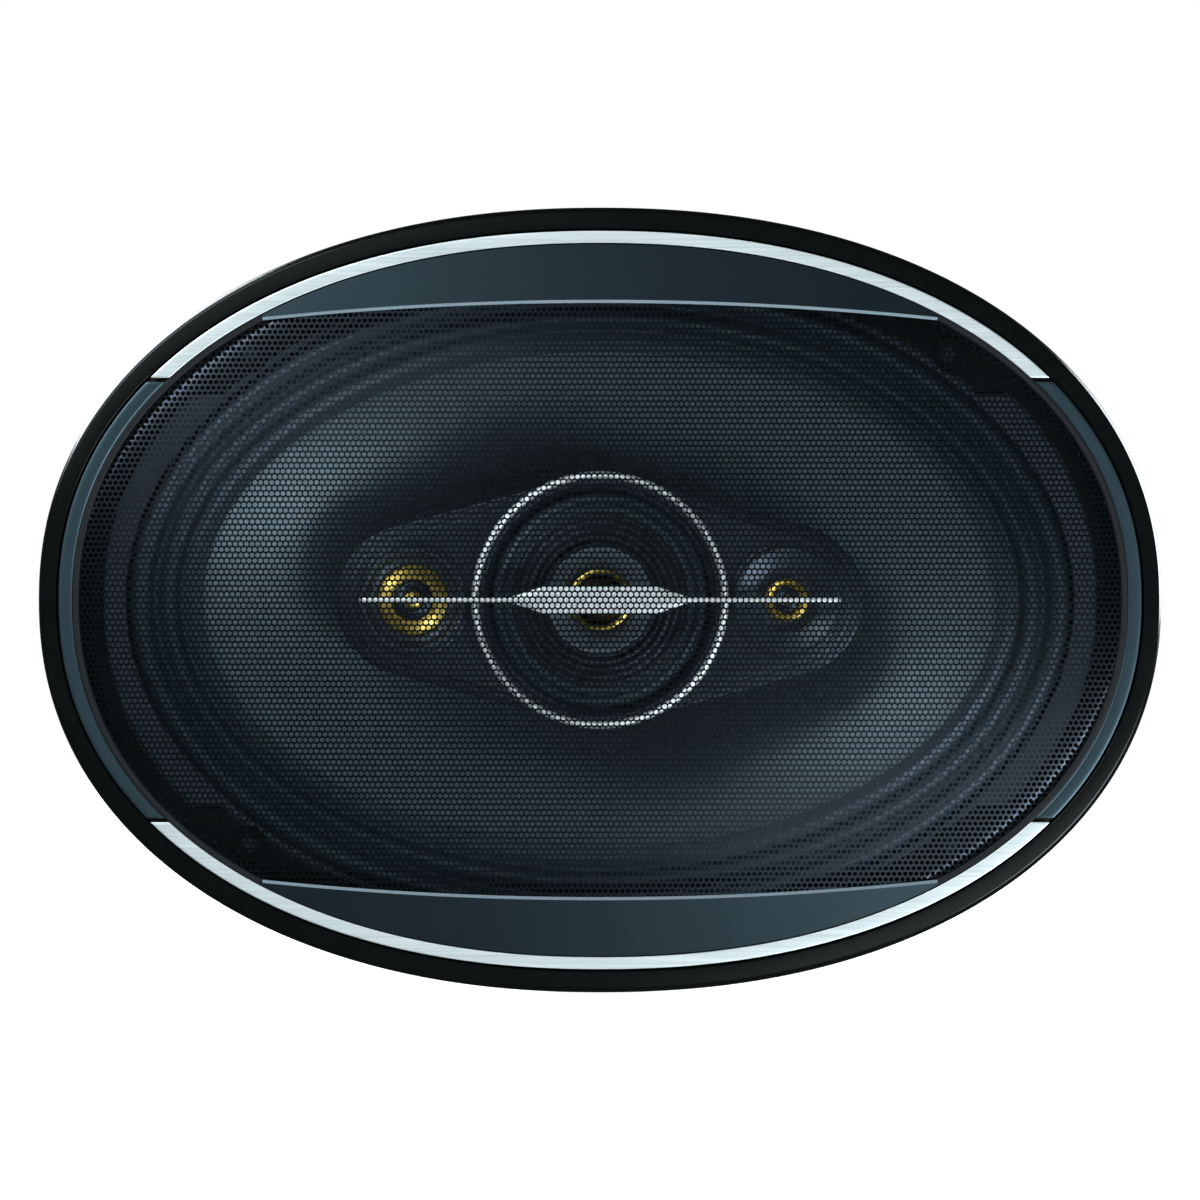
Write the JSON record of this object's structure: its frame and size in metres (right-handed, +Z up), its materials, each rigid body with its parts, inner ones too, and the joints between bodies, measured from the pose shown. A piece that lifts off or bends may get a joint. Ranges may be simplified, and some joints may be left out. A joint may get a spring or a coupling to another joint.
{
  "type": "coaxial car speaker",
  "caption": "Oval coaxial car speaker: removable domed mesh grille, sprung cone, central midrange and tweeter module, windowed steel basket and ring magnet.",
  "frame": {"origin": "centre of the mounting flange, on its back face", "axes": "+X along the long axis of the oval, +Y out of the back of the speaker into the panel, +Z up; the listening side faces -Y"},
  "size_m": [0.246, 0.098, 0.172],
  "materials": {
    "gloss_black": "polished",
    "black_paint": "satin powder coat",
    "grille_paint": "satin powder coat",
    "gasket_board": "pressed fibre, black",
    "zinc_steel": "zinc plated",
    "plated_steel": "black zinc, machined",
    "ferrite": "ground ferrite",
    "label_foil": "plain satin foil",
    "brass": "plated",
    "tinned_steel": "tinned",
    "phenolic": "laminated board",
    "capacitor_sleeve": "shrunk sleeve",
    "cone_plastic": "moulded, satin",
    "black_rubber": "matt",
    "spider_cloth": "resin-dipped cloth",
    "former_aluminium": "thin sheet",
    "copper": "enamelled copper wire",
    "module_black": "moulded, satin",
    "silver_metal": "bright satin",
    "mid_cone_plastic": "moulded, satin",
    "whizzer_grey": "moulded, satin",
    "gilt": "gilt, satin",
    "diaphragm_film": "metallised film",
    "band_aluminium": "brushed along its length",
    "accent_grey": "dark metallic",
    "panel_grey": "dark metallic"
  },
  "bodies": {
    "basket_assembly": {"base_ring": "gloss_black", "basket": "black_paint", "surround_gasket": "gasket_board", "motor_screws": "zinc_steel", "top_plate": "plated_steel", "magnet": "ferrite", "yoke": "plated_steel", "rear_label": "label_foil", "centre_post": "plated_steel", "post_washer": "zinc_steel", "post_nut": "zinc_steel", "terminal_board": "phenolic", "board_rivets": "brass", "positive_tab": "brass", "negative_tab": "tinned_steel", "crossover_capacitor": "capacitor_sleeve", "surround": "black_rubber", "spider": "spider_cloth", "positive_tinsel_lead": "copper", "negative_tinsel_lead": "copper", "module_housing": "module_black", "module_back_cover": "module_black", "module_screws": "zinc_steel", "mid_ring": "silver_metal", "badge_bar": "silver_metal", "badge_plate": "silver_metal", "mid_frame": "module_black", "mid_magnet": "ferrite", "mid_yoke": "plated_steel", "mid_surround": "black_rubber", "left_faceplate": "module_black", "left_gilt_ring": "gilt", "left_phase_plug": "gilt", "left_magnet": "plated_steel", "right_waveguide": "module_black", "right_gilt_ring": "gilt", "right_phase_plug": "gilt", "right_magnet": "plated_steel", "tweeter_capacitors": "capacitor_sleeve"},
    "woofer_cone": {"woofer_cone": "cone_plastic", "coil_former": "former_aluminium", "coil_winding": "copper"},
    "midrange_cone": {"mid_cone": "mid_cone_plastic", "mid_whizzer": "whizzer_grey", "mid_dust_cap": "gilt", "mid_coil": "copper"},
    "left_tweeter_dome": {"left_diaphragm": "diaphragm_film"},
    "right_tweeter_dome": {"right_diaphragm": "diaphragm_film"},
    "grille": {"grille_frame": "module_black", "grille_mesh": "grille_paint", "upper_strip": "band_aluminium", "lower_strip": "band_aluminium", "left_accent": "accent_grey", "right_accent": "accent_grey", "upper_panel": "panel_grey", "lower_panel": "panel_grey", "grille_clips": "module_black"}
  },
  "joints": [
    {"name": "cone_travel", "type": "slide", "parent": "basket_assembly", "child": "woofer_cone", "axis": [0, -1, 0], "range_m": [-0.004, 0.004], "stiffness_N_per_m": 2000, "deforming": ["surround", "spider", "positive_tinsel_lead", "negative_tinsel_lead"]},
    {"name": "midrange_travel", "type": "slide", "parent": "basket_assembly", "child": "midrange_cone", "axis": [0, -1, 0], "range_m": [-0.001, 0.001], "stiffness_N_per_m": 3000, "deforming": ["mid_surround"]},
    {"name": "left_tweeter_travel", "type": "slide", "parent": "basket_assembly", "child": "left_tweeter_dome", "axis": [0, -1, 0], "range_m": [-0.0003, 0.0003], "stiffness_N_per_m": 2000},
    {"name": "right_tweeter_travel", "type": "slide", "parent": "basket_assembly", "child": "right_tweeter_dome", "axis": [0, -1, 0], "range_m": [-0.0002, 0.0002], "stiffness_N_per_m": 2000},
    {"name": "grille_pull_off", "type": "slide", "parent": "basket_assembly", "child": "grille", "axis": [0, -1, 0], "range_m": [0, 0.03]}
  ]
}
